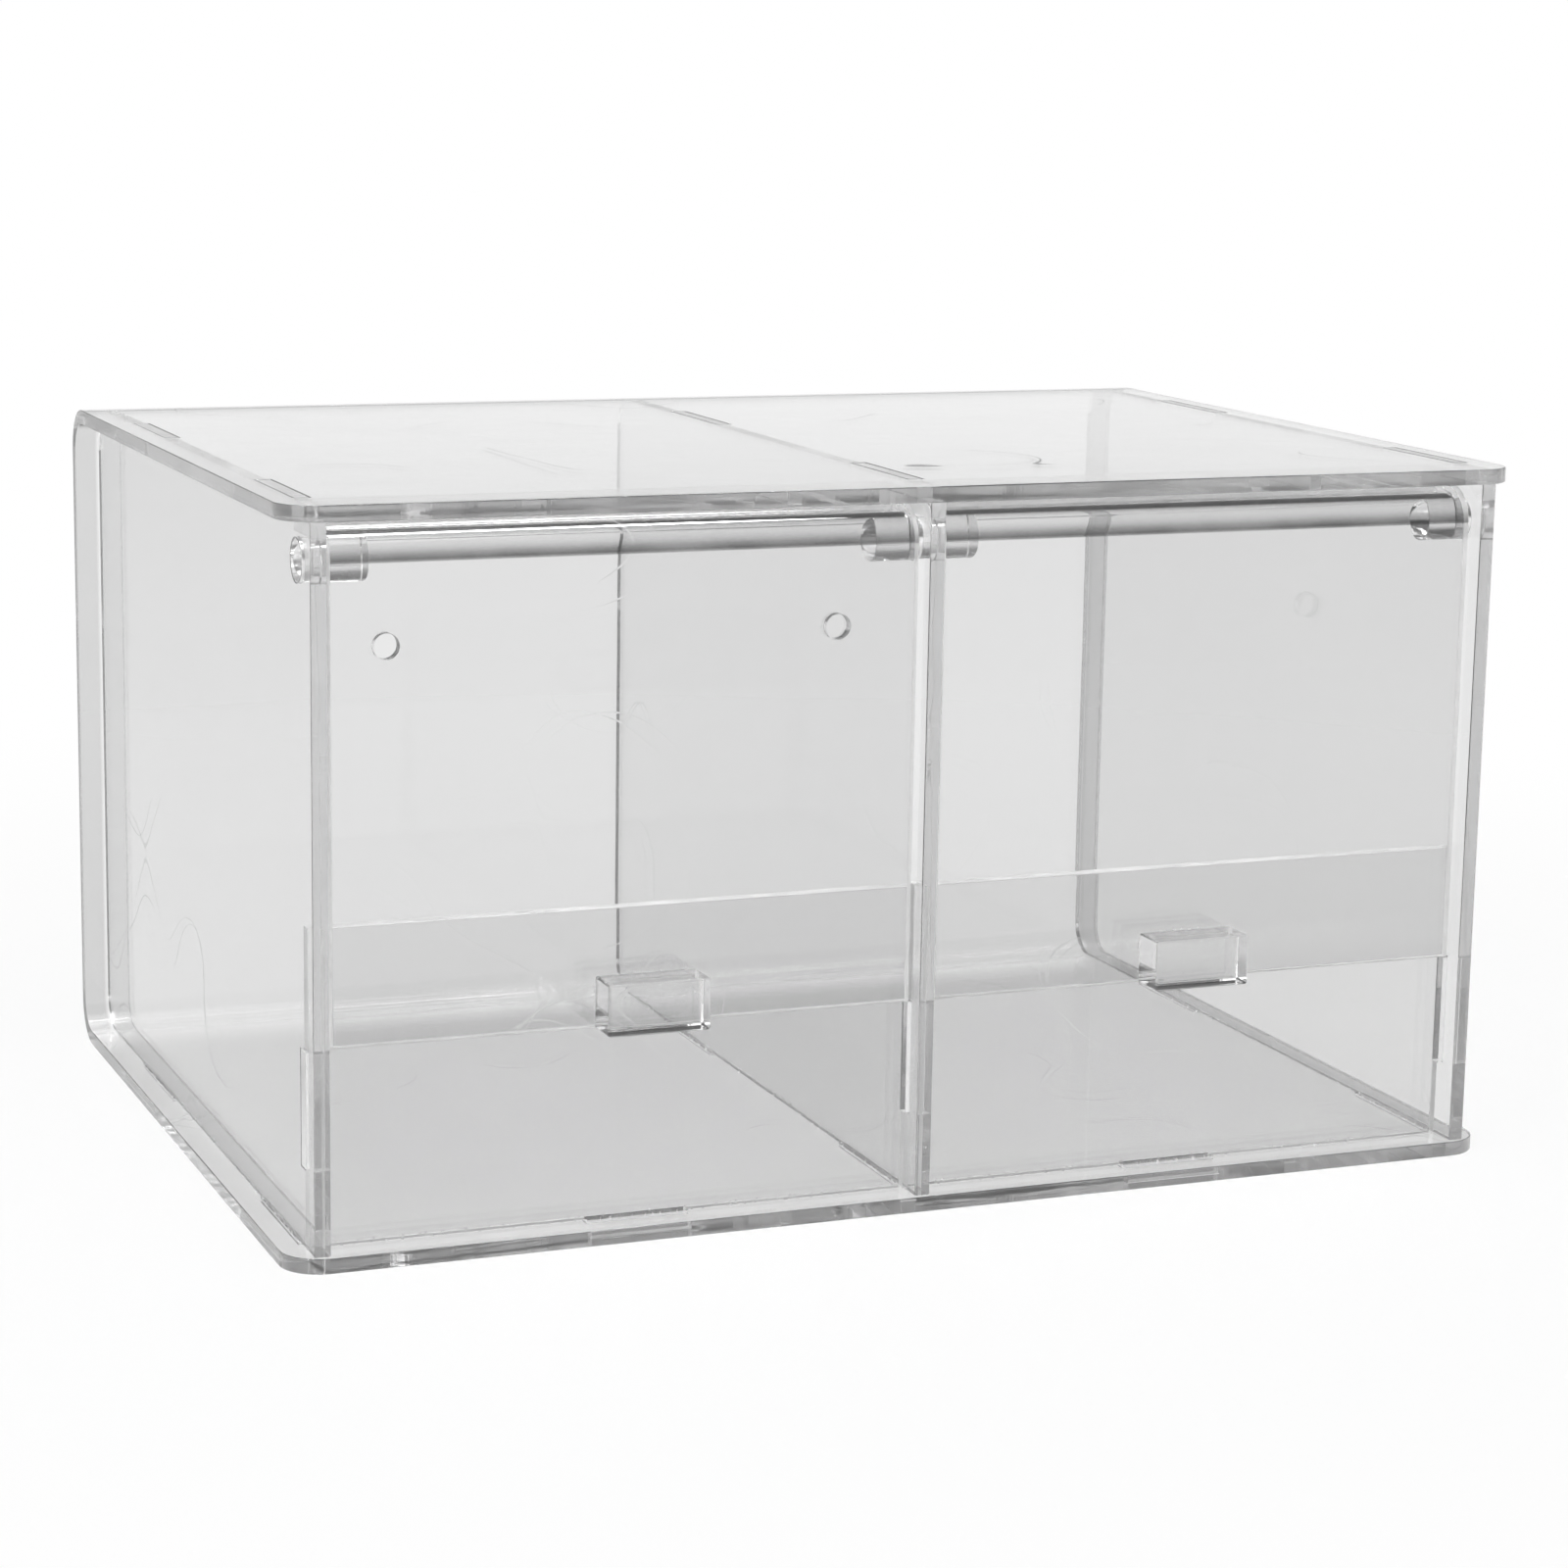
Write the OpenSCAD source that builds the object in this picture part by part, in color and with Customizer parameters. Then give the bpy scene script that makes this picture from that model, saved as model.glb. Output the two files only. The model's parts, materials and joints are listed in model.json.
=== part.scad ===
// Clear counter bin with two compartments and two hanging doors.
// Every flat piece is cut from one thickness of sheet and joined by tabs in slots.
// The front faces -Y. The origin is under the middle of the bin, on the surface it stands on.

/* [Shell] */
// Width of the bent shell
bin_w = 250; // [200:1:400]
// Depth from the shell's front edge to the outside of its back
bin_d = 180; // [150:1:300]
// Height of the bent shell
bin_h = 140; // [125:1:240]
// Thickness of every sheet
sheet_t = 3; // [2:0.5:4]
// Inside radius of the shell's two bends
shell_bend_r = 6; // [3:0.5:12]
// Radius of the shell's front corners, seen from above
corner_r = 8; // [2:0.5:12]

/* [Upright panels] */
// From the shell's side edge to the outer face of a side panel
side_inset = 5; // [3:0.5:12]
// From the shell's front edge to the front edges of the uprights
upright_setback = 1; // [0:0.5:5]
// Length of each tab at the top and bottom of an upright
tab_l = 28; // [15:1:35]
// From the shell's front edge to the middle of the front tabs
front_tab_y = 26; // [20:1:45]
// From the outside of the back to the middle of the rear tabs
rear_tab_y = 53; // [35:1:70]

/* [Lower fronts] */
// Height of a lower front above the floor of the bin
lower_h = 60; // [45:1:75]
// Height of the tabs at the ends of a lower front
end_tab_h = 22; // [10:1:30]
// From the floor of the bin to the bottom of those tabs
end_tab_z = 15; // [5:1:15]
// Width of the tab under a lower front
floor_tab_w = 20; // [10:1:40]

/* [Doors] */
// How far a closed door reaches below the top edge of the lower front
door_overlap = 22; // [5:1:35]
// From the front edges of the uprights back to the face of a door
door_recess = 2.5; // [0:0.5:6]
// Depth of a door's bent top, from its face to the end of the lip
lip_d = 16; // [14:0.5:30]

/* [Knobs] */
// Width of a knob
knob_w = 20; // [12:1:40]
// Height of a knob
knob_h = 10; // [6:1:20]
// How far a knob stands out from its door
knob_d = 8; // [4:0.5:15]

/* [Pegs and holes] */
// Diameter of the pegs that the doors hang on
peg_d = 8; // [5:0.5:9]
// How far a peg reaches into a compartment
peg_reach = 9; // [5:0.5:20]
// Diameter of the two holes in the back
wall_hole_d = 6; // [3:0.5:10]
// Height of the holes in the back
wall_hole_z = 85; // [60:1:100]
// Distance between the centre lines of the two knobs, floor tabs and back holes
fittings_pitch = 112; // [80:1:140]

/* [Clearances] */
// Gap all round a tab or a peg in the sheet that holds it
cement_gap = 0.05; // [0.02:0.01:0.2]
// Gap between a peg and the bend that turns on it
turning_gap = 0.1; // [0.02:0.01:0.1]
// Gap between a closed door and the lower front behind it
door_back_gap = 0.5; // [0.3:0.1:1.5]
// Gap between a door and the panels on each side of it
door_side_gap = 1.2; // [0.5:0.1:2.5]
// Gap between the top of a door and the shell's top
door_top_gap = 0.8; // [0.5:0.1:1.5]
// How much larger an upright's rear corners are than the shell's bends
bend_relief = 0.5; // [0.2:0.1:2]

/* [Hidden] */
$fn = 96;
clear_sheet = [0.84, 0.9, 0.94, 0.45];
clear_block = [0.75, 0.85, 0.92, 0.8];
// Cutters run past the faces they cut by this much
past = 1;

// Depths from the shell's front edge
door_face_y = upright_setback + door_recess;
knob_stands_out = max(knob_d - door_face_y, 0);
peg_r = peg_d / 2;
bend_in_r = peg_r + turning_gap;
bend_out_r = bend_in_r + sheet_t;
peg_y = door_face_y + bend_out_r;
lower_front_y = door_face_y + sheet_t + door_back_gap;
back_in_y = bin_d - sheet_t;
tab_ys = [front_tab_y, bin_d - rear_tab_y];

// Heights from the surface the bin stands on
top_in_z = bin_h - sheet_t;
peg_z = top_in_z - door_top_gap - bend_out_r;
door_bottom_z = sheet_t + lower_h - door_overlap;

// Places across the width
shell_front = knob_stands_out - (bin_d + knob_stands_out) / 2;
side_in_x = bin_w / 2 - side_inset - sheet_t;
divider_x = sheet_t / 2;
bay_w = side_in_x - divider_x;
door_w = bay_w - 2 * door_side_gap;
bay_mid_x = (side_in_x + divider_x) / 2;
fitting_x = fittings_pitch / 2;

// A rectangle from the origin whose two far corners are round
module rear_rounded(length, height, r) {
    square([length - r, height]);
    translate([0, r]) square([length, height - 2 * r]);
    for (z = [r, height - r]) translate([length - r, z]) circle(r);
}

// Stands a drawing of depth and height upright and gives it a thickness across the width
module across(x, width) {
    translate([x, shell_front, 0]) rotate([90, 0, 90]) linear_extrude(width) children();
}

// A box given by its place from the shell's front edge
module block(x, y, z, size) {
    translate([x, shell_front + y, z]) cube(size);
}

// The bent sheet before anything is cut
module bent_sheet() {
    across(-bin_w / 2, bin_w) difference() {
        rear_rounded(bin_d, bin_h, shell_bend_r + sheet_t);
        translate([-past, sheet_t]) rear_rounded(back_in_y + past, bin_h - 2 * sheet_t, shell_bend_r);
    }
}

// What is cut off a front corner of the top and the base
module corner_waste() {
    translate([-bin_w / 2, shell_front, -past]) linear_extrude(bin_h + 2 * past) difference() {
        translate([-past, -past]) square(corner_r + past);
        translate([corner_r, corner_r]) circle(corner_r);
    }
}

// Slots in the top and the base for the tabs of the upright whose left face is at x
module tab_slots(x) {
    slot_w = sheet_t + 2 * cement_gap;
    slot_l = tab_l + 2 * cement_gap;
    for (y = tab_ys) block(x - cement_gap, y - slot_l / 2, -past, [slot_w, slot_l, bin_h + 2 * past]);
}

// Slot in the base for the tab under a lower front
module floor_slot() {
    slot_w = floor_tab_w + 2 * cement_gap;
    slot_l = sheet_t + 2 * cement_gap;
    block(-fitting_x - slot_w / 2, lower_front_y - cement_gap, -past, [slot_w, slot_l, sheet_t + 2 * past]);
}

module wall_hole() {
    translate([-fitting_x, shell_front + back_in_y - past, wall_hole_z]) rotate([-90, 0, 0])
        cylinder(d = wall_hole_d, h = sheet_t + 2 * past);
}

// The shape and its mirror image on the other side of the bin
module both_sides() {
    children();
    mirror([1, 0, 0]) children();
}

module shell() {
    color(clear_sheet) difference() {
        bent_sheet();
        both_sides() {
            corner_waste();
            tab_slots(-side_in_x - sheet_t);
            floor_slot();
            wall_hole();
        }
        tab_slots(-divider_x);
    }
}

// Both side panels and the divider are cut to this one shape
module upright(x) {
    color(clear_sheet) across(x, sheet_t) difference() {
        union() {
            translate([upright_setback, sheet_t])
                rear_rounded(back_in_y - upright_setback, bin_h - 2 * sheet_t, shell_bend_r + bend_relief);
            for (y = tab_ys) translate([y - tab_l / 2, 0]) square([tab_l, bin_h]);
        }
        translate([peg_y, peg_z]) circle(peg_r + cement_gap);
        translate([lower_front_y - cement_gap, sheet_t + end_tab_z - cement_gap])
            square([sheet_t + 2 * cement_gap, end_tab_h + 2 * cement_gap]);
    }
}

module left_side() upright(-side_in_x - sheet_t);

module right_side() upright(side_in_x);

module divider() upright(-divider_x);

// The left one. Its end tabs fill the side panel and half of the divider
module lower_front() {
    half_tab = sheet_t / 2 - cement_gap;
    color(clear_sheet) translate([0, shell_front + lower_front_y + sheet_t, 0])
        rotate([90, 0, 0]) linear_extrude(sheet_t) {
            translate([-side_in_x, sheet_t]) square([bay_w, lower_h]);
            translate([-side_in_x - sheet_t, sheet_t + end_tab_z])
                square([sheet_t + bay_w + half_tab, end_tab_h]);
            translate([-fitting_x - floor_tab_w / 2, 0]) square([floor_tab_w, sheet_t + lower_h]);
        }
}

module left_lower_front() lower_front();

module right_lower_front() mirror([1, 0, 0]) lower_front();

// Side view of a door: the sheet, its bend round the peg and its lip
module door_profile() {
    translate([door_face_y, door_bottom_z]) square([sheet_t, peg_z - door_bottom_z]);
    translate([peg_y, peg_z + bend_in_r]) square([lip_d - bend_out_r, sheet_t]);
    translate([peg_y, peg_z]) intersection() {
        difference() {
            circle(bend_out_r);
            circle(bend_in_r);
        }
        translate([-bend_out_r - past, 0]) square([bend_out_r + past, bend_out_r + past]);
    }
}

module left_door() {
    color(clear_sheet) across(-bay_mid_x - door_w / 2, door_w) door_profile();
}

module right_door() mirror([1, 0, 0]) left_door();

module left_knob() {
    color(clear_block)
        block(-fitting_x - knob_w / 2, door_face_y - knob_d, door_bottom_z, [knob_w, knob_d, knob_h]);
}

module right_knob() mirror([1, 0, 0]) left_knob();

// A rod along the width that starts at x
module peg(x, length) {
    color(clear_block) translate([x, shell_front + peg_y, peg_z]) rotate([0, 90, 0])
        cylinder(r = peg_r, h = length);
}

module left_peg() peg(-side_in_x - sheet_t, sheet_t + peg_reach);

module middle_peg() peg(-divider_x - peg_reach, sheet_t + 2 * peg_reach);

module right_peg() peg(side_in_x - peg_reach, sheet_t + peg_reach);

shell();
left_side();
right_side();
divider();
left_lower_front();
right_lower_front();
left_door();
right_door();
left_knob();
right_knob();
left_peg();
middle_peg();
right_peg();
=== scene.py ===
# %% [markdown]
# # A clear counter bin with two hanging doors
# The real bin is cut from clear acrylic sheet, 3 mm thick, with two doors that are bent round short
# rods. Everything that moves or fits is already modelled, so this script only gives it its looks:
# eased and polished edges, beads of cement, bends that distort a little, and acrylic that bends light.

# %% Load the frame
import json
import math

import bmesh
import bpy
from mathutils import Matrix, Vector
from mathutils.bvhtree import BVHTree


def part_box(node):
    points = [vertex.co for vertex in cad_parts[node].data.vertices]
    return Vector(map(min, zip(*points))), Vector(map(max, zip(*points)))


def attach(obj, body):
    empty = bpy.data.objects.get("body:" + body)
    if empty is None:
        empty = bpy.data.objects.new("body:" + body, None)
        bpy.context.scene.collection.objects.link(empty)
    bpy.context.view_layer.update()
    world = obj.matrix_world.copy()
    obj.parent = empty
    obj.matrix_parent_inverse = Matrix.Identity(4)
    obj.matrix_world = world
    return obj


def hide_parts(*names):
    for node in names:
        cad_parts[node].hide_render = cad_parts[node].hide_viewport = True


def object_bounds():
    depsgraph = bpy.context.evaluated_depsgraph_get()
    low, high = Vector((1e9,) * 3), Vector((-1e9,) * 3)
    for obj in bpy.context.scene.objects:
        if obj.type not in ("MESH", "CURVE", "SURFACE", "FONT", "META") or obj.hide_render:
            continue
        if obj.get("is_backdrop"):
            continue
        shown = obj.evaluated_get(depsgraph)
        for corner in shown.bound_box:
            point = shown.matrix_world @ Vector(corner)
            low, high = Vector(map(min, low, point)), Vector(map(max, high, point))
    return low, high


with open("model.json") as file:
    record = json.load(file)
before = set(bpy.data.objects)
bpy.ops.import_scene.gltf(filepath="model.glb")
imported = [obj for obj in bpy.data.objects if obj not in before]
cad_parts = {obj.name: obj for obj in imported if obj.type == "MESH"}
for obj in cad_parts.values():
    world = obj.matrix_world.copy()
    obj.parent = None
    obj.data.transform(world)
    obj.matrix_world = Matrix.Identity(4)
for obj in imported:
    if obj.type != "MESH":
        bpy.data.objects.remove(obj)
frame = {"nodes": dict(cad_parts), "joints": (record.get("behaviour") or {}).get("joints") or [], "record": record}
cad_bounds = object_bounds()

nodes = frame["nodes"]
print("pieces in the frame:", ", ".join(sorted(nodes)))

# %% [markdown]
# ## Sizes that the frame already holds
# A clear object shows every wrong gap. The sizes could be typed in again here, but then two lists
# would have to agree for ever. Reading them from the solids is safer, and later cells do the same
# for the line that a door turns on and the places of the joints.

# %% Measure the frame
MM = 0.001
side_low, side_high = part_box("left_side")
sheet_t = side_high.x - side_low.x
shell_low, shell_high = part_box("shell")
bin_middle = (shell_low + shell_high) / 2
print(f"sheet {sheet_t / MM:.1f} mm, shell {(shell_high.x - shell_low.x) / MM:.0f} mm wide")

# %% [markdown]
# ## The camera
# The picture was taken from the left, a little above the bin, with a long lens. A camera can be
# moved by eye until the outlines agree, but a clear box shows its back edges too, and a camera set
# by eye rarely fits them all. So the place below was solved from the corners of the bin.

# %% Camera
CAMERA_PLACE = Vector((-293.6, -740.8, 224.6)) * MM
CAMERA_TURN = (78.83, -0.962, -21.754)
CAMERA_LENS = 89.05


def make_camera(place, turn, lens):
    camera = bpy.data.objects.new("camera", bpy.data.cameras.new("camera"))
    camera.data.lens = lens
    camera.data.sensor_width = 36
    camera.data.clip_start = 0.01
    camera.location = place
    camera.rotation_euler = [math.radians(angle) for angle in turn]
    bpy.context.scene.collection.objects.link(camera)
    bpy.context.scene.camera = camera
    return camera


camera = make_camera(CAMERA_PLACE, CAMERA_TURN, CAMERA_LENS)
print("camera", round((camera.location - bin_middle).length, 3), "m from the middle of the bin")

# %% [markdown]
# ## A small language for node trees
# Nodes can be added and linked one by one, but a material is easier to read as sums than as a web.
# `Wire` wraps one output socket, and each operator on it adds the Math node that does the sum.


# %% Sums on sockets
class Wire:
    def __init__(self, graph, socket):
        self.graph = graph
        self.socket = socket

    def math(self, operation, first, second):
        return self.graph.node("ShaderNodeMath", {"operation": operation}, {0: first, 1: second})

    def __add__(self, other):
        return self.math("ADD", self, other)

    def __radd__(self, other):
        return self.math("ADD", other, self)

    def __sub__(self, other):
        return self.math("SUBTRACT", self, other)

    def __rsub__(self, other):
        return self.math("SUBTRACT", other, self)

    def __mul__(self, other):
        return self.math("MULTIPLY", self, other)

    def __rmul__(self, other):
        return self.math("MULTIPLY", other, self)

    def __truediv__(self, other):
        return self.math("DIVIDE", self, other)

    def __pow__(self, other):
        return self.math("POWER", self, other)

    def most(self, other):
        return self.math("MAXIMUM", self, other)

    def least(self, other):
        return self.math("MINIMUM", self, other)

    def away_from(self, level):
        return self.graph.node("ShaderNodeMath", {"operation": "ABSOLUTE"}, {0: self - level})

    def between(self, low, high):
        """0 below low, 1 above high and a smooth rise between them."""
        return self.graph.node(
            "ShaderNodeMapRange",
            {"interpolation_type": "SMOOTHSTEP"},
            {"Value": self, "From Min": low, "From Max": high},
        )


# %% [markdown]
# ## Any other node
# `Graph.node` takes a node's type, its settings and the values or links of its sockets. Settings
# come first, because a setting such as the data type decides which sockets there are.


# %% Nodes on a tree
class Graph:
    def __init__(self, tree):
        self.tree = tree

    def node(self, kind, settings=None, values=None, out=0):
        made = self.tree.nodes.new(kind)
        for name, value in (settings or {}).items():
            setattr(made, name, value)
        for name, value in (values or {}).items():
            self.feed(made.inputs[name], value)
        return Wire(self, made.outputs[out])

    def split(self, vector):
        """The x, y and z of a vector."""
        parts = self.node("ShaderNodeSeparateXYZ", values={"Vector": vector})
        return [Wire(self, socket) for socket in parts.socket.node.outputs]

    def feed(self, socket, value):
        if isinstance(value, Wire):
            self.tree.links.new(value.socket, socket)
        else:
            socket.default_value = value


class Shader(Graph):
    """The node tree of a material or a world."""

    def __init__(self, owner, output="ShaderNodeOutputMaterial"):
        owner.use_nodes = True
        super().__init__(owner.node_tree)
        self.tree.nodes.clear()
        self.output = self.tree.nodes.new(output)

    def finish(self, surface):
        self.feed(self.output.inputs["Surface"], surface)


# %% [markdown]
# ## Recipes for geometry
# Geometry Nodes are node trees too, so the same sums work on lengths and angles. A recipe has named
# inputs for its sizes. It ends in Realize Instances and Set Material, so that what comes out is a
# real mesh with its finish on it.


# %% Recipes
class Recipe(Graph):
    """A geometry tree with named inputs, which a modifier follows once and then leaves a plain mesh."""

    KINDS = {float: "NodeSocketFloat", int: "NodeSocketInt", Vector: "NodeSocketVector"}

    def __init__(self, name, **inputs):
        super().__init__(bpy.data.node_groups.new(name, "GeometryNodeTree"))
        face = self.tree.interface
        face.new_socket("Geometry", in_out="OUTPUT", socket_type="NodeSocketGeometry")
        face.new_socket("Geometry", in_out="INPUT", socket_type="NodeSocketGeometry")
        self.named = {}
        for key, value in inputs.items():
            socket = face.new_socket(key, in_out="INPUT", socket_type=self.KINDS[type(value)])
            socket.default_value = value
            self.named[key] = socket.identifier
        self.source = self.tree.nodes.new("NodeGroupInput")
        self.end = self.tree.nodes.new("NodeGroupOutput")

    def given(self, key):
        return Wire(self, self.source.outputs[key])

    def finish(self, geometry, material):
        whole = self.node("GeometryNodeRealizeInstances", values={"Geometry": geometry})
        dressed = self.node("GeometryNodeSetMaterial", values={"Geometry": whole, "Material": material})
        self.feed(self.end.inputs["Geometry"], dressed)

    def follow(self, thing, **values):
        step = thing.modifiers.new(self.tree.name, "NODES")
        step.node_group = self.tree
        for key, value in values.items():
            step[self.named[key]] = tuple(value) if isinstance(value, Vector) else value


# %% [markdown]
# ## Daylight studio
# Clear acrylic has no look of its own: it shows what it bends and mirrors. The real bin stood before
# pale paper in a room with a darker ceiling. That room could be built from panels, but a world that
# changes with height does the same without one. It is plain white to the eye. For rays that go
# through or off the acrylic it is white near the horizon and dark overhead, which is what draws the
# round bends and rods.

# %% World
WORLD_LIGHT = 0.64
CEILING = 0.05
CEILING_STARTS = (0.04, 0.3)


def light_path(shader, name):
    return shader.node("ShaderNodeLightPath", out=name)


def blend(shader, share, first, second):
    return shader.node("ShaderNodeMixShader", values={0: share, 1: first, 2: second})


def glow(shader, strength):
    return shader.node("ShaderNodeBackground", values={"Color": (1, 1, 1, 1), "Strength": strength})


def make_world():
    world = bpy.data.worlds.new("studio")
    bpy.context.scene.world = world
    shader = Shader(world, "ShaderNodeOutputWorld")
    eye = light_path(shader, "Is Camera Ray")
    clear = light_path(shader, "Is Transmission Ray").most(light_path(shader, "Is Glossy Ray"))
    place = shader.node("ShaderNodeTexCoord", out="Generated")
    height = shader.split(place)[2]
    overhead = height.between(*CEILING_STARTS) * (1 - eye)
    seen = blend(shader, overhead, glow(shader, 1.0), glow(shader, CEILING))
    shader.finish(blend(shader, eye.most(clear), glow(shader, WORLD_LIGHT), seen))


make_world()
print(f"world: {WORLD_LIGHT} on the object, {CEILING} overhead in the acrylic")

# %% [markdown]
# ## The floor
# White paper lies under the bin. Stronger lamps would turn it white, but they would bleach the bin
# as well, so most of its white is its own, by light path. Near the bin it still takes the soft
# shadow, and further off it fades into the white behind, so no line shows where the paper ends.

# %% Floor
FLOOR_SIZE = 12.0
FLOOR_DROP = 0.2 * MM
PAPER_COLOUR = (0.8, 0.8, 0.8, 1)
SHADOW_SHARE = 0.2
SHADOW_ENDS = (0.1, 0.5)
MIRRORED_SHARE = 0.2


def make_floor():
    mesh = bpy.data.meshes.new("floor")
    half = FLOOR_SIZE / 2
    corners = [(-half, -half), (half, -half), (half, half), (-half, half)]
    mesh.from_pydata([(x, y, -FLOOR_DROP) for x, y in corners], [], [(0, 1, 2, 3)])
    floor = bpy.data.objects.new("floor", mesh)
    bpy.context.scene.collection.objects.link(floor)
    material = bpy.data.materials.new("floor_paper")
    shader = Shader(material)
    paper = shader.node("ShaderNodeBsdfDiffuse", values={"Color": PAPER_COLOUR})
    white = shader.node("ShaderNodeEmission", values={"Color": (1, 1, 1, 1), "Strength": 1.0})
    place = shader.node("ShaderNodeTexCoord", out="Object")
    away = shader.node("ShaderNodeVectorMath", {"operation": "LENGTH"}, {0: place}, out="Value")
    share = 1 - SHADOW_SHARE * (1 - away.between(*SHADOW_ENDS))
    seen = light_path(shader, "Is Camera Ray").most(light_path(shader, "Is Transmission Ray"))
    seen = seen.most(MIRRORED_SHARE * light_path(shader, "Is Glossy Ray"))
    shader.finish(blend(shader, seen * share, paper, white))
    mesh.materials.append(material)
    floor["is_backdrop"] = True


make_floor()
print(f"floor: {FLOOR_SIZE:.0f} m wide, {FLOOR_DROP / MM:.1f} mm under the bin")

# %% [markdown]
# ## Lamps
# Soft boxes hang above the bin and stand to its left, as by a window. Point lamps would throw hard
# shadows, so each lamp is a wide area. The third is a narrow strip. It lights nothing by itself:
# it only draws the bright lines along the round bends and rods, as a ceiling tube does.


# %% Lamps
def make_lamp(name, place, size, power):
    lamp = bpy.data.objects.new(name, bpy.data.lights.new(name, "AREA"))
    lamp.data.shape = "RECTANGLE"
    lamp.data.size, lamp.data.size_y = size
    lamp.data.energy = power
    lamp.location = place
    lamp.rotation_euler = (bin_middle - lamp.location).to_track_quat("-Z", "Y").to_euler()
    bpy.context.scene.collection.objects.link(lamp)
    return lamp


make_lamp("overhead", Vector((-0.2, -0.3, 1.2)), (0.9, 0.9), 7)
make_lamp("window", Vector((-1.1, -0.5, 0.5)), (0.5, 0.9), 3)
strip = make_lamp("strip", Vector((-0.1, 0.16, 1.1)), (1.2, 0.14), 13)
strip.visible_diffuse = False
print("lamps:", ", ".join(sorted(lamp.name for lamp in bpy.data.lights)))


# %% [markdown]
# ## Clear acrylic
# Acrylic bends light with an index of 1.49. It could be faked with a see-through shader and a little
# gloss, but then its edges and rods would vanish, and they are what one sees of it. Real refraction
# throws too solid a shadow, so shadow rays pass through a plain see-through shader instead.


# %% Patterns in the acrylic
def surface_place(shader, scale=(1, 1, 1)):
    place = shader.node("ShaderNodeTexCoord", out="Object")
    return shader.node("ShaderNodeMapping", values={"Vector": place, "Scale": scale})


def noise(shader, place, scale, detail=2.0):
    return shader.node("ShaderNodeTexNoise", values={"Vector": place, "Scale": scale, "Detail": detail})


def mixed(shader, share, first, second):
    sockets = {"Factor": share, 6: first, 7: second}
    return shader.node("ShaderNodeMix", {"data_type": "RGBA"}, sockets, out=2)


def tinted(shader, tint):
    """Nearly one grey, a little lighter here and darker there, as cast sheet is."""
    cloud = noise(shader, surface_place(shader), 9.0)
    darker, lighter = [(tint - d, tint - d, tint - d * 0.9, 1) for d in (0.02, -0.01)]
    return mixed(shader, cloud, darker, lighter)


def even_tint(tint):
    def colour(shader):
        return tinted(shader, tint)

    return colour


# %% One clear material with its own haze and waves
ACRYLIC_IOR = 1.49
WHITE_SCATTER = (0.9, 0.9, 0.9, 1)
LET_BY = (0.93, 0.93, 0.93, 1)


def clear_acrylic(name, colour, haze, height, bump_depth, frost=0.0):
    """colour, haze and height turn a shader into a colour, a roughness and a bump height."""
    material = bpy.data.materials.new(name)
    shader = Shader(material)
    bump = shader.node(
        "ShaderNodeBump",
        values={"Strength": 1.0, "Distance": bump_depth, "Height": height(shader)},
    )
    acrylic = shader.node(
        "ShaderNodeBsdfPrincipled",
        values={
            "Base Color": colour(shader),
            "Roughness": haze(shader),
            "Normal": bump,
            "IOR": ACRYLIC_IOR,
            "Transmission Weight": 1.0,
        },
    )
    if frost:
        scatter = shader.node(
            "ShaderNodeBsdfPrincipled",
            values={"Base Color": WHITE_SCATTER, "Roughness": 0.6, "Normal": bump},
        )
        uneven = noise(shader, surface_place(shader), 90.0)
        acrylic = blend(shader, frost * (0.6 + 0.8 * uneven), acrylic, scatter)
    lets_light_by = shader.node("ShaderNodeBsdfTransparent", values={"Color": LET_BY})
    shader.finish(blend(shader, light_path(shader, "Is Shadow Ray"), acrylic, lets_light_by))
    return material


# %% [markdown]
# ## Faces of the sheet
# Real sheet is never perfect. It is wiped with a cloth, so it has hazy patches and hair-thin marks,
# and its faces wave a little. A scanned picture of scratches would repeat and smear. Noise doesn't,
# and a thin band of its values gives a line that wanders as a scratch does. The tints differ from
# panel to panel, and they are painted shade: each greys its panel as the light around it would.

# %% Polished faces
# Painted shade: each tint greys its panel as the light around it would, so the two sides differ.
SHEET_SHADE_TINTS = {"left_side": 0.78, "right_side": 0.83, "divider": 0.9, "lower_front": 0.885}
WAVE_DEPTH = 0.012 * MM


def wipe_marks(shader):
    """Hair-thin lines where a cloth dragged a grain of dust, in a few places only."""
    place = surface_place(shader)
    thread = 1 - noise(shader, place, 30.0, 0.0).away_from(0.5).between(0.0008, 0.0028)
    where = noise(shader, place, 22.0, 0.0).between(0.56, 0.62)
    return thread * where


def wiped_haze(shader):
    patches = noise(shader, surface_place(shader), 14.0, 3.0).between(0.52, 0.72)
    return 0.012 * patches + 0.22 * wipe_marks(shader)


def rolled_waves(shader):
    return noise(shader, surface_place(shader), 55.0, 1.0) - 0.4 * wipe_marks(shader)


sheet_faces = {
    use: clear_acrylic("clear_" + use, even_tint(tint), wiped_haze, rolled_waves, WAVE_DEPTH)
    for use, tint in SHEET_SHADE_TINTS.items()
}
print("sheet faces:", ", ".join(sheet_faces))

# %% [markdown]
# ## The shell's faces
# The back stands out a little past both side panels, and that narrow margin looks greyer than the
# rest. The grey is painted shade, and the colour carries it: the mask is 1 only beyond the side
# panels and near the back.

# %% Shell faces
SHELL_TINT = 0.94
MARGIN_SHADE_GREY = (0.68, 0.68, 0.68, 1)
SIDE_OUTSIDE = -side_low.x
BACK_INSIDE = shell_high.y - sheet_t


# Painted shade: past the side panels and near the back, the colour is mixed towards a darker grey.
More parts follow.
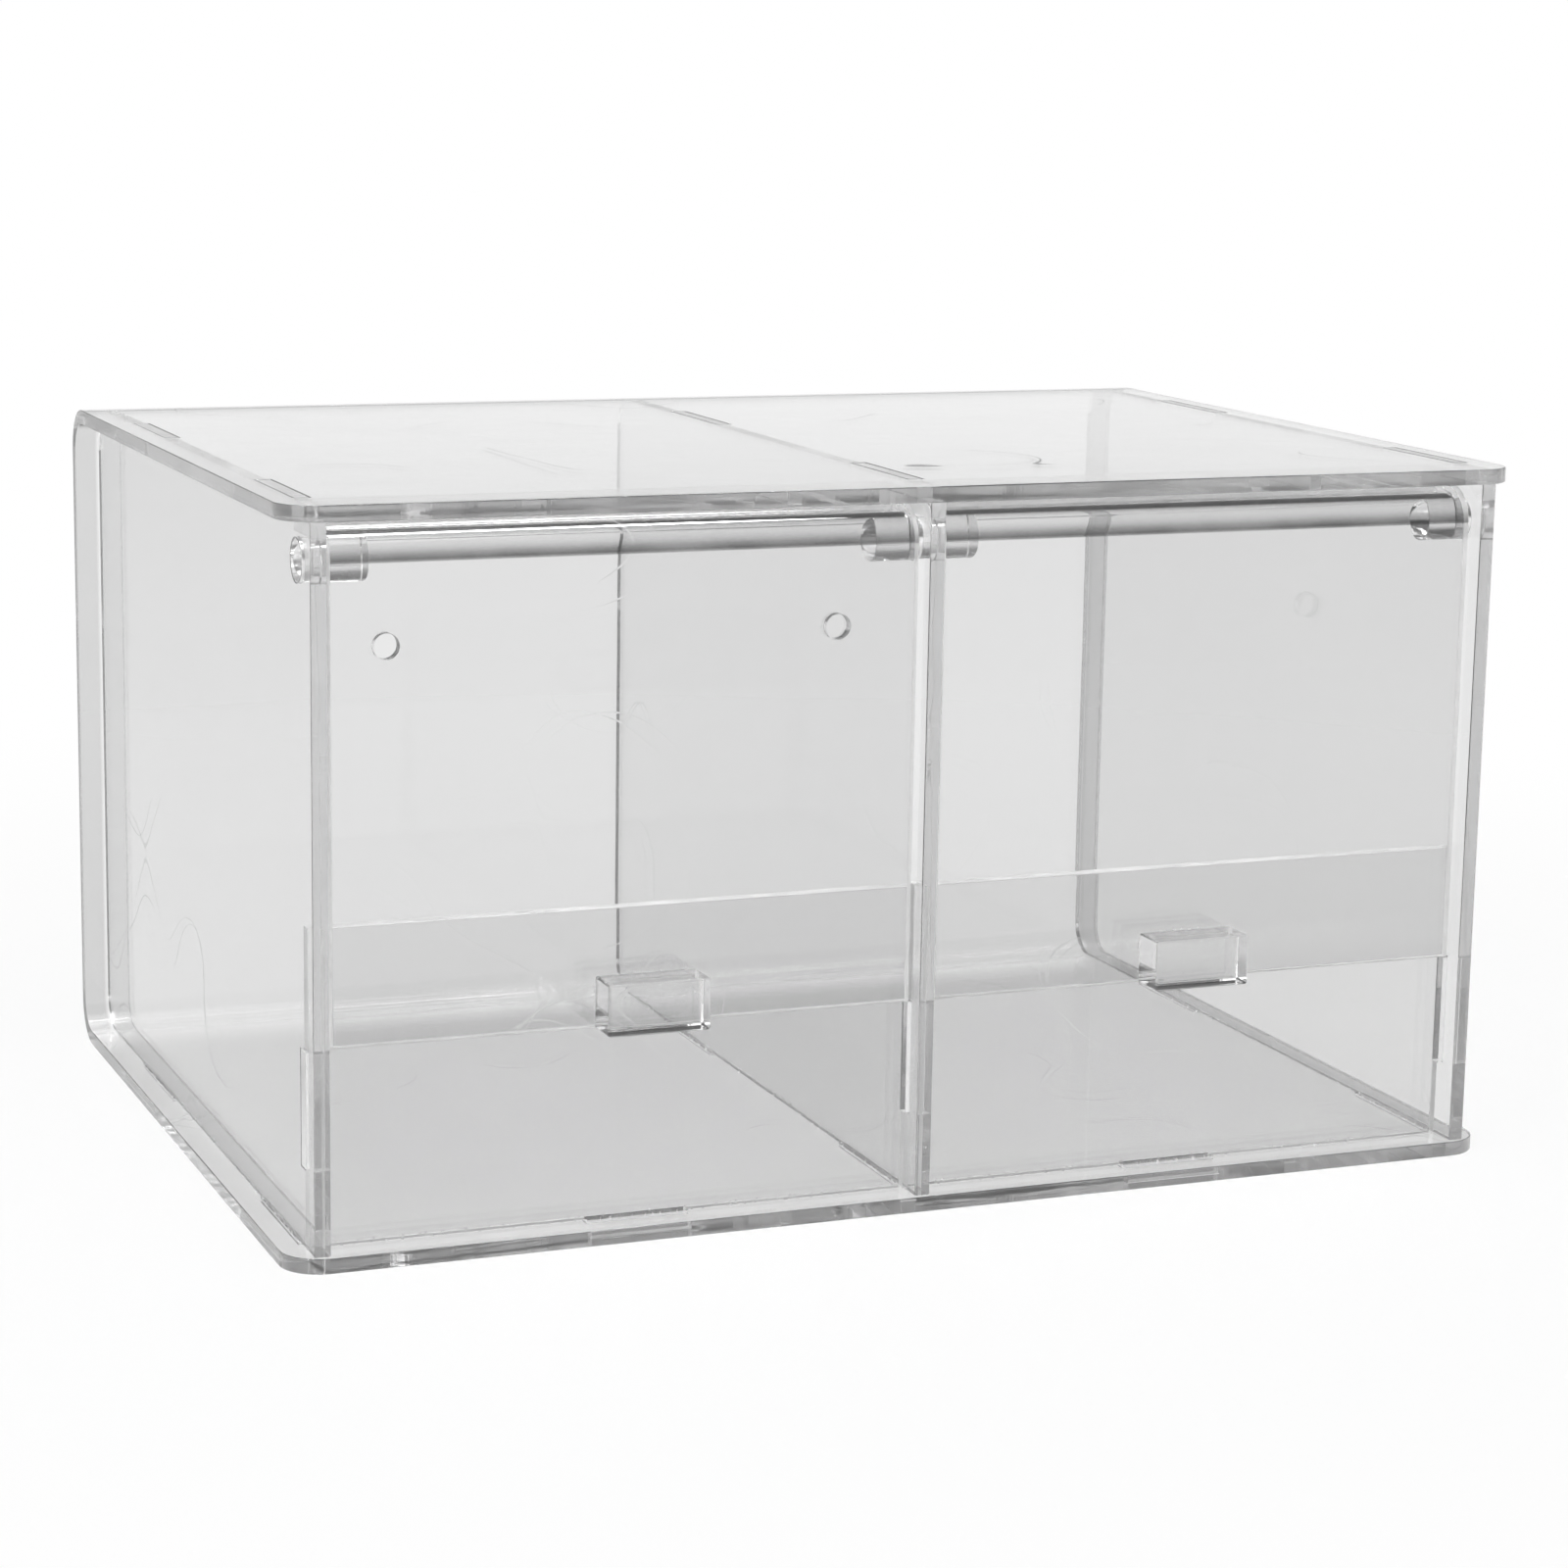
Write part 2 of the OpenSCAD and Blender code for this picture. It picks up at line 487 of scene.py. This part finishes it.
def shell_colour_with_shade(shader):
    across, depth = shader.split(surface_place(shader))[:2]
    past_side = across.away_from(0.0).between(SIDE_OUTSIDE - 0.1 * MM, SIDE_OUTSIDE + 0.5 * MM)
    near_back = depth.between(BACK_INSIDE - 8 * MM, BACK_INSIDE - 1 * MM)
    patchy = 0.9 + 0.2 * noise(shader, surface_place(shader), 40.0)
    return mixed(shader, past_side * near_back * patchy, tinted(shader, SHELL_TINT), MARGIN_SHADE_GREY)


shell_face = clear_acrylic("clear_shell", shell_colour_with_shade, wiped_haze, rolled_waves, WAVE_DEPTH)
print(f"shell faces: shade_painted past {SIDE_OUTSIDE / MM:.0f} mm from the middle")

# %% [markdown]
# ## Bent faces
# Just above the line where a door's bend starts, the sheet looks dark, and the dark fades out over
# a few millimetres. That band is painted shade: the material draws it at the height of the hinge.
# A door's mesh stays where it is at rest, so Object coordinates carry the line with the door.

# %% Door faces
hinge_place = {joint["name"]: Vector(joint["pos_m"]) for joint in frame["joints"]}
HINGE_Z = hinge_place["left_door_hinge"].z
BEND_SHADE_BAND = 4.2 * MM
BEND_SHADE_GREY = (0.07, 0.07, 0.07, 1)
# The door tint is painted shade: it greys both doors as the light around them would.
DOOR_SHADE_TINT = 0.82


# Painted shade: a dark band just above the hinge line, strongest at the line and fading upwards.
def door_colour_with_shade(shader):
    height = shader.split(surface_place(shader))[2]
    ragged = noise(shader, surface_place(shader, (1.0, 1.0, 0.2)), 60.0)
    above = (height - HINGE_Z) / BEND_SHADE_BAND
    started = above.between(-0.04, 0.03)
    left = 1 - above.between(0.0, 0.95)
    strength = started * (left**2.2) * (0.65 + 0.5 * ragged)
    return mixed(shader, strength, tinted(shader, DOOR_SHADE_TINT), BEND_SHADE_GREY)


def hot_waves(shader):
    """Waves that grow towards the bend, long across the door and short up it."""
    height = shader.split(surface_place(shader))[2]
    near = height.between(HINGE_Z - 22 * MM, HINGE_Z)
    pulled = noise(shader, surface_place(shader, (0.25, 1.0, 1.0)), 160.0, 1.0)
    return rolled_waves(shader) + 1.2 * near * pulled


door_face = clear_acrylic("clear_door_face", door_colour_with_shade, wiped_haze, hot_waves, WAVE_DEPTH)
print(f"door faces: the bend starts {HINGE_Z / MM:.1f} mm up")

# %% [markdown]
# ## Cut edges
# A laser leaves fine lines through the thickness of the sheet and melts them almost flat as it goes.
# Such lines in the mesh would need millions of faces, so they are bump. They are noise that is
# stretched along the thickness, so each direction of sheet needs its own version. The rims of the
# lower fronts and the doors were scraped as well, so they scatter more light and look whiter.


# %% Cut edges
# The edge tint is painted shade: it darkens the cut edges as light lost inside the sheet would.
EDGE_SHADE_TINT = 0.6
EDGE_FROST = {"x": 0.16, "y": 0.6, "z": 0.12}
CUT_DEPTH = 0.035 * MM


def cut_lines(across):
    stretch = [1.0, 1.0, 1.0]
    stretch["xyz".index(across)] = 0.04

    def lines(shader):
        place = surface_place(shader, stretch)
        return 0.6 * noise(shader, place, 900.0) + 0.4 * noise(shader, place, 160.0, 1.0)

    return lines


def melted_haze(shader):
    spots = noise(shader, surface_place(shader), 110.0)
    return 0.02 + 0.06 * spots.between(0.5, 0.75)


sheet_edges = {}
for across, frost in EDGE_FROST.items():
    looks = even_tint(EDGE_SHADE_TINT), melted_haze, cut_lines(across), CUT_DEPTH, frost
    sheet_edges[across] = clear_acrylic("cut_edge_" + across, *looks)
print("cut edges:", ", ".join(edge.name for edge in sheet_edges.values()))

# %% [markdown]
# ## Blocks and rods
# The knobs are short blocks, polished on every side. The pegs are pieces of extruded rod, which has
# fine lines along its length. One material could serve both, but it is the lines that make a rod
# sparkle, so the rod has its own.


# %% Block and rod
BLOCK_TINT = 0.96


def buffed_haze(shader):
    return 0.008 + 0.03 * noise(shader, surface_place(shader), 200.0).between(0.5, 0.7)


def buffed_waves(shader):
    return noise(shader, surface_place(shader), 240.0, 1.0)


def drawn_lines(shader):
    return noise(shader, surface_place(shader, (0.05, 1.0, 1.0)), 1400.0, 1.0)


block_colour = even_tint(BLOCK_TINT)
block_face = clear_acrylic("clear_block_face", block_colour, buffed_haze, buffed_waves, 0.008 * MM)
rod_face = clear_acrylic("clear_rod_face", block_colour, buffed_haze, drawn_lines, 0.01 * MM)
print("materials:", ", ".join(sorted(m.name for m in bpy.data.materials)))

# %% [markdown]
# ## Faces that touch
# In the solids, a cemented face lies exactly on its neighbour's. Two clear faces in the same place
# trap the light and turn black. They could be parted by a gap, but cement leaves no air, so a face
# that rests on a neighbour is pressed a hair into it instead.

# %% Press faces into their neighbours
CEMENT_BITE = 0.02 * MM
TOUCHING = 0.005 * MM


def press_into(shape, neighbours):
    """Pushes each face that rests on one of the neighbour solids a hair into it."""
    others = []
    for name in neighbours:
        solid = nodes[name].data
        corners = [tuple(v.co) for v in solid.vertices]
        others.append(BVHTree.FromPolygons(corners, [tuple(f.vertices) for f in solid.polygons]))
    pushes = {}
    for face in shape.faces:
        middle = face.calc_center_median()
        for other in others:
            place, normal, index, gap = other.find_nearest(middle)
            if gap < TOUCHING and normal.dot(face.normal) < -0.99:
                for corner in face.verts:
                    way = tuple(round(value, 2) for value in face.normal)
                    pushes.setdefault(corner, {})[way] = face.normal.copy()
    for corner, ways in pushes.items():
        for way in ways.values():
            corner.co += way * CEMENT_BITE
    return len(pushes)


# %% [markdown]
# ## Faces and cut edges
# A sheet's two broad faces are glossy as cast, and every other face was cut. The faces could be
# picked by hand, but a ray answers for any shape: behind a broad face it meets the far side after
# exactly the sheet's thickness.


# %% Sort the cut edges from the broad faces
def sort_faces(shape):
    """Gives the second material to each face that hasn't the sheet's thickness behind it."""
    tree = BVHTree.FromBMesh(shape)
    step = 0.1 * MM
    for face in shape.faces:
        start = face.calc_center_median() - face.normal * step
        depth = tree.ray_cast(start, -face.normal)[3] or 0
        face.material_index = 0 if abs(depth + step - sheet_t) < 0.12 * MM else 1
    return sum(face.material_index for face in shape.faces)


# %% [markdown]
# ## Eased corners
# No real sheet has knife-sharp corners: a light pass with a scraper takes them off, and they catch a
# thin bright line. A Bevel modifier does that, and then the result is made a plain mesh. Its shading
# would still lean a little at every corner, which bends light right across a large clear panel. So
# each corner's normal is taken from the largest face that meets there.

# %% Ease the corners
EASED = 0.22 * MM
SHARPER_THAN = math.radians(35)


def ease_corners(mesh, width, segments):
    """The mesh with its corners rounded, as a plain mesh with nothing left to work out."""
    thing = bpy.data.objects.new("being_eased", mesh)
    bpy.context.scene.collection.objects.link(thing)
    bevel = thing.modifiers.new("eased", "BEVEL")
    bevel.width = width
    bevel.segments = segments
    bevel.limit_method = "ANGLE"
    bevel.angle_limit = SHARPER_THAN
    bevel.use_clamp_overlap = False
    eased = plain_mesh(thing)
    bpy.data.objects.remove(thing)
    return lean_normals(eased)


def lean_normals(mesh):
    """At each corner the shading leans to the largest face that meets there, so flat faces look flat."""
    meeting = [[] for corner in mesh.vertices]
    for face in mesh.polygons:
        for corner in face.vertices:
            meeting[corner].append((face.normal.copy(), face.area**2))
    normals = []
    for face in mesh.polygons:
        for corner in face.vertices:
            lean = Vector()
            for way, weight in meeting[corner]:
                if way.dot(face.normal) > 0.5:
                    lean += way * weight
            normals.append(lean.normalized())
    mesh.normals_split_custom_set(normals)
    return mesh


def plain_mesh(thing):
    bpy.context.view_layer.update()
    worked_out = thing.evaluated_get(bpy.context.evaluated_depsgraph_get())
    return bpy.data.meshes.new_from_object(worked_out)


# %% [markdown]
# ## One way for all the pieces
# A sheet could be rebuilt from its drawing, but its tabs have to meet the slots exactly, so most
# pieces start as a copy of the solid. Loose corners are joined, touching faces pressed, cut edges
# sorted out, flat areas made one face, and the corners eased.


# %% Finish a piece
SAME_PLACE = 0.001 * MM
NEARLY_FLAT = math.radians(0.3)


def finish_piece(name, mesh, neighbours, materials, width=EASED, segments=2):
    shape = bmesh.new()
    shape.from_mesh(mesh)
    bmesh.ops.remove_doubles(shape, verts=shape.verts, dist=SAME_PLACE)
    pressed = press_into(shape, neighbours)
    cut = sort_faces(shape) if len(materials) > 1 else 0
    bmesh.ops.dissolve_limit(
        shape,
        angle_limit=NEARLY_FLAT,
        verts=shape.verts,
        edges=shape.edges,
        delimit={"MATERIAL"},
    )
    for face in shape.faces:
        face.smooth = True
    merged = bpy.data.meshes.new(name + "_plain")
    shape.to_mesh(merged)
    shape.free()
    for material in materials:
        merged.materials.append(material)
    eased = ease_corners(merged, width, segments)
    eased.name = name
    print(f"{name}: {len(eased.polygons)} faces, {pressed} corners pressed in, {cut} cut faces")
    return eased


# %% [markdown]
# ## In the solid's place
# The finished mesh could be put into the solid's own object, but the physics still uses the solids,
# so they stay as they are. The piece is an object of its own. It rides on the same body, which makes
# a door's pieces swing together.


# %% Show a piece
def show_piece(name, mesh, node):
    """Puts the finished mesh in the place of a solid, on the body of that solid, and hides the solid."""
    piece = bpy.data.objects.new(name, mesh)
    bpy.context.scene.collection.objects.link(piece)
    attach(piece, body_of_node[node])
    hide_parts(node)


# %% Which body each solid has
record = frame["record"]
body_of_node = {n: body for body, members in record["behaviour"]["bodies"].items() for n in members}
print("bodies:", body_of_node)

# %% [markdown]
# ## The shell and the uprights
# One long sheet is bent twice to give the base, the back and the top. Two side panels and a divider
# stand in slots in it. All four could be bent or cut again here, as the doors are below, but their
# outlines are already exact, so they keep them and only get their edges and faces.

# %% Shell, side panels and divider
shell_skin = [shell_face, sheet_edges["z"]]
show_piece("polished_shell", finish_piece("polished_shell", nodes["shell"].data, [], shell_skin), "shell")
for name in ("left_side", "right_side", "divider"):
    skin = [sheet_faces[name], sheet_edges["x"]]
    mesh = finish_piece("polished_" + name, nodes[name].data, ["shell"], skin)
    show_piece("polished_" + name, mesh, name)

# %% [markdown]
# ## The lower fronts
# A low panel closes the bottom of each compartment. Its end tabs go through the side panel and half
# way into the divider, and a third tab goes through the base. The right one could be a mirror image
# of the left, but a mirrored mesh is inside out until it is turned, and its solid is there to copy.

# %% Lower fronts
for side in ("left", "right"):
    name = side + "_lower_front"
    beside = ["shell", side + "_side", "divider"]
    skin = [sheet_faces["lower_front"], sheet_edges["y"]]
    mesh = finish_piece("polished_" + name, nodes[name].data, beside, skin)
    show_piece("polished_" + name, mesh, name)

# %% [markdown]
# ## The doors
# A door is cut flat, heated along one line and folded over a round former. It could be an outline
# that is pushed across the width, but then the bend would have only the few steps that were drawn.
# Geometry Nodes follow the maker's rule: a flat blank is cut into narrow strips, and each strip is
# carried round the former by its distance from the lower edge. The blank keeps its length along the
# middle of the sheet.


# %% A recipe that bends a flat blank
STRIPS = 240


def sine(wire):
    return wire.graph.node("ShaderNodeMath", {"operation": "SINE"}, {0: wire})


def cosine(wire):
    return wire.graph.node("ShaderNodeMath", {"operation": "COSINE"}, {0: wire})


def bend_recipe(material):
    recipe = Recipe(
        "bend_a_blank",
        Width=0.1,
        Straight=0.09,
        Lip=0.01,
        Thickness=0.003,
        Radius=0.006,
        Strips=STRIPS,
        Foot=Vector((0, 0, 0)),
    )
    width, straight, lip = [recipe.given(key) for key in ("Width", "Straight", "Lip")]
    thickness, radius = recipe.given("Thickness"), recipe.given("Radius")
    quarter = math.pi / 2
    length = straight + radius * quarter + lip
    blank_size = recipe.node("ShaderNodeCombineXYZ", values={"X": width, "Y": length, "Z": thickness})
    blank = recipe.node(
        "GeometryNodeMeshCube",
        values={"Size": blank_size, "Vertices X": 2, "Vertices Y": recipe.given("Strips"), "Vertices Z": 2},
    )
    across, along, out = recipe.split(recipe.node("GeometryNodeInputPosition"))
    along = along + length / 2
    turned = ((along - straight) / radius).most(0.0).least(quarter)
    height = along.least(straight) + radius * sine(turned) + out * sine(turned)
    depth = radius * (1 - cosine(turned)) - out * cosine(turned)
    depth = depth + (along - straight - radius * quarter).most(0.0)
    bent = recipe.node("ShaderNodeCombineXYZ", values={"X": across, "Y": depth, "Z": height})
    placed = recipe.node("ShaderNodeVectorMath", {"operation": "ADD"}, {0: bent, 1: recipe.given("Foot")})
    recipe.finish(
        recipe.node("GeometryNodeSetPosition", values={"Geometry": blank, "Position": placed}),
        material,
    )
    return recipe


# %% Bend the two doors
bend_a_blank = bend_recipe(door_face)


def carrier(name):
    """An empty mesh for a recipe to fill."""
    thing = bpy.data.objects.new(name, bpy.data.meshes.new(name))
    bpy.context.scene.collection.objects.link(thing)
    return thing


def bent_door(node):
    low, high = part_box(node)
    hinge = hinge_place[node + "_hinge"]
    radius = high.z - hinge.z - sheet_t / 2
    thing = carrier("blank")
    bend_a_blank.follow(
        thing,
        Width=high.x - low.x,
        Straight=hinge.z - low.z,
        Lip=high.y - hinge.y,
        Thickness=sheet_t,
        Radius=radius,
        Strips=STRIPS,
        Foot=Vector(((low.x + high.x) / 2, low.y + sheet_t / 2, low.z)),
    )
    mesh = plain_mesh(thing)
    bpy.data.objects.remove(thing)
    reach = [Vector([pick(v.co[i] for v in mesh.vertices) for i in range(3)]) for pick in (min, max)]
    print(f"{node}: off by {(reach[0] - low).length / MM:.3f} and {(reach[1] - high).length / MM:.3f} mm")
    return mesh


for side in ("left", "right"):
    name = side + "_door"
    mesh = finish_piece("bent_" + name, bent_door(name), [], [door_face, sheet_edges["y"]])
    show_piece("bent_" + name, mesh, name)

# %% [markdown]
# ## Knobs and pegs
# Each knob is a small block that is cemented low on its door. The pegs are rods that pass through
# the uprights, and the doors hang on them. Their corners are eased a little more than the sheets',
# because a hand feels them. A wider bevel is enough, since both are simple shapes.

# %% Knobs and pegs
KNOB_EASED = 0.5 * MM
PEG_EASED = 0.3 * MM

for side in ("left", "right"):
    name = side + "_knob"
    solid = nodes[name].data
    mesh = finish_piece("polished_" + name, solid, [side + "_door"], [block_face], KNOB_EASED, 3)
    show_piece("polished_" + name, mesh, name)
for name in ("left_peg", "middle_peg", "right_peg"):
    mesh = finish_piece("polished_" + name, nodes[name].data, [], [rod_face], PEG_EASED, 2)
    show_piece("polished_" + name, mesh, name)

# %% [markdown]
# ## Cement
# Thin cement runs into a joint and is squeezed out again as tiny clear beads along it. A bump could
# hint at them, but they stand proud and glint from every side. Hundreds of them repeat along
# straight lines, so Geometry Nodes place them: points on a line, each moved and sized at random from
# a fixed seed, with a small ball on each point.


# %% A recipe for a row of beads
BEAD_RADIUS = 0.32 * MM
BEAD_TINT = 0.97
BEAD_FROST = 0.25


def bead_recipe(material):
    recipe = Recipe(
        "beads_along_a_joint",
        Start=Vector((0, 0, 0)),
        Step=Vector((0, 0.001, 0)),
        Spread=Vector((0, 0, 0)),
        Beads=20,
        Size=0.0002,
        Seed=0,
    )
    row = recipe.node(
        "GeometryNodeMeshLine",
        {"mode": "OFFSET"},
        {
            "Count": recipe.given("Beads"),
            "Start Location": recipe.given("Start"),
            "Offset": recipe.given("Step"),
        },
    )
    spread = recipe.given("Spread")
    back = recipe.node("ShaderNodeVectorMath", {"operation": "SCALE"}, {0: spread, "Scale": -1.0})
    stray = recipe.node(
        "FunctionNodeRandomValue",
        {"data_type": "FLOAT_VECTOR"},
        {0: back, 1: spread, "Seed": recipe.given("Seed")},
    )
    strewn = recipe.node("GeometryNodeSetPosition", values={"Geometry": row, "Offset": stray})
    ball = recipe.node(
        "GeometryNodeMeshIcoSphere",
        values={"Radius": recipe.given("Size"), "Subdivisions": 1},
    )
    smooth_ball = recipe.node("GeometryNodeSetShadeSmooth", values={"Geometry": ball})
    fatness = recipe.node(
        "FunctionNodeRandomValue",
        {"data_type": "FLOAT"},
        {2: 0.3, 3: 1.0, "Seed": recipe.given("Seed") + 1.0},
        out=1,
    )
    beads = recipe.node(
        "GeometryNodeInstanceOnPoints",
        values={"Points": strewn, "Instance": smooth_ball, "Scale": fatness},
    )
    recipe.finish(beads, material)
    return recipe


bead_looks = even_tint(BEAD_TINT), buffed_haze, buffed_waves, 0.004 * MM, BEAD_FROST
bead_face = clear_acrylic("cement_bead", *bead_looks)
beads_along_a_joint = bead_recipe(bead_face)


# %% Beads along the joints
OFF_FACE = 0.1 * MM


def beaded(name, body, joints):
    """joints holds the start, the end and the stray of each line, and how many beads lie on it."""
    whole = bmesh.new()
    for number, (start, end, spread, beads) in enumerate(joints):
        row = carrier("row_of_beads")
        beads_along_a_joint.follow(
            row,
            Start=start,
            Step=(end - start) / (beads - 1),
            Spread=spread,
            Beads=beads,
            Size=BEAD_RADIUS,
            Seed=7 * number,
        )
        mesh = plain_mesh(row)
        whole.from_mesh(mesh)
        bpy.data.objects.remove(row)
    mesh = bpy.data.meshes.new(name)
    whole.to_mesh(mesh)
    whole.free()
    mesh.materials.append(bead_face)
    piece = bpy.data.objects.new(name, mesh)
    bpy.context.scene.collection.objects.link(piece)
    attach(piece, body)
    print(f"{name}: {len(mesh.polygons)} faces")


def upright_joints():
    """The four inside corners that an upright makes with the base and the top."""
    for name in ("left_side", "divider", "right_side"):
        low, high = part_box(name)
        for x in (low.x - OFF_FACE, high.x + OFF_FACE):
            for z in (sheet_t + OFF_FACE, high.z - sheet_t - OFF_FACE):
                start = Vector((x, low.y + 2 * MM, z))
                end = Vector((x, high.y - 10 * MM, z))
                yield start, end, Vector((0.12, 2.0, 0.08)) * MM, 60


def lower_front_joints():
    for name in ("left_lower_front", "right_lower_front"):
        low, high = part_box(name)
        for y in (low.y - OFF_FACE, high.y + OFF_FACE):
            start = Vector((low.x + 5 * MM, y, sheet_t + OFF_FACE))
            end = Vector((high.x - 5 * MM, y, sheet_t + OFF_FACE))
            yield start, end, Vector((1.6, 0.1, 0.08)) * MM, 50


beaded("cement_beads", "bin", [*upright_joints(), *lower_front_joints()])

# %% [markdown]
# ## Knob cement
# A knob was pressed on to its door, so cement shows round the block's back edge too, along the top
# and up both sides. The same recipe makes it, but as a piece of its own, because it swings with the
# door.

# %% Beads round the knobs
for side in ("left", "right"):
    low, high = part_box(side + "_knob")
    seam_y = high.y - 0.08 * MM
    top = high.z + 0.05 * MM
    left, right = Vector((low.x + 1 * MM, seam_y, top)), Vector((high.x - 1 * MM, seam_y, top))
    rows = [(left, right, Vector((0.6, 0.02, 0.1)) * MM, 16)]
    for x in (low.x - 0.05 * MM, high.x + 0.05 * MM):
        foot, head = Vector((x, seam_y, low.z + 1.5 * MM)), Vector((x, seam_y, high.z - 1 * MM))
        rows.append((foot, head, Vector((0.1, 0.02, 0.4)) * MM, 8))
    beaded(side + "_knob_beads", side + "_door", rows)

# %% [markdown]
# ## Output settings
# A ray through the whole bin can pass half a dozen sheets, and it bounces about inside each as well.
# With the usual limit of 12 it would often stop on its way and leave black patches, so it may bend
# and bounce 32 times. The Standard view shows a colour about as it is written.

# %% Output settings
BOUNCES = 32
bpy.context.scene.view_settings.view_transform = "Standard"
for limit in ("max_bounces", "transmission_bounces", "glossy_bounces", "transparent_max_bounces"):
    setattr(bpy.context.scene.cycles, limit, BOUNCES)
print("bounces:", BOUNCES)

# %% [markdown]
# ## The two boxes
# The dressed bin has to fill the same box as its solids, so the sizes of both boxes are printed.

# %% Print the two boxes
shown_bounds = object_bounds()
for label, (low, high) in (("solids", cad_bounds), ("dressed", shown_bounds)):
    print(label, [round((high[i] - low[i]) / MM, 2) for i in range(3)], "mm")
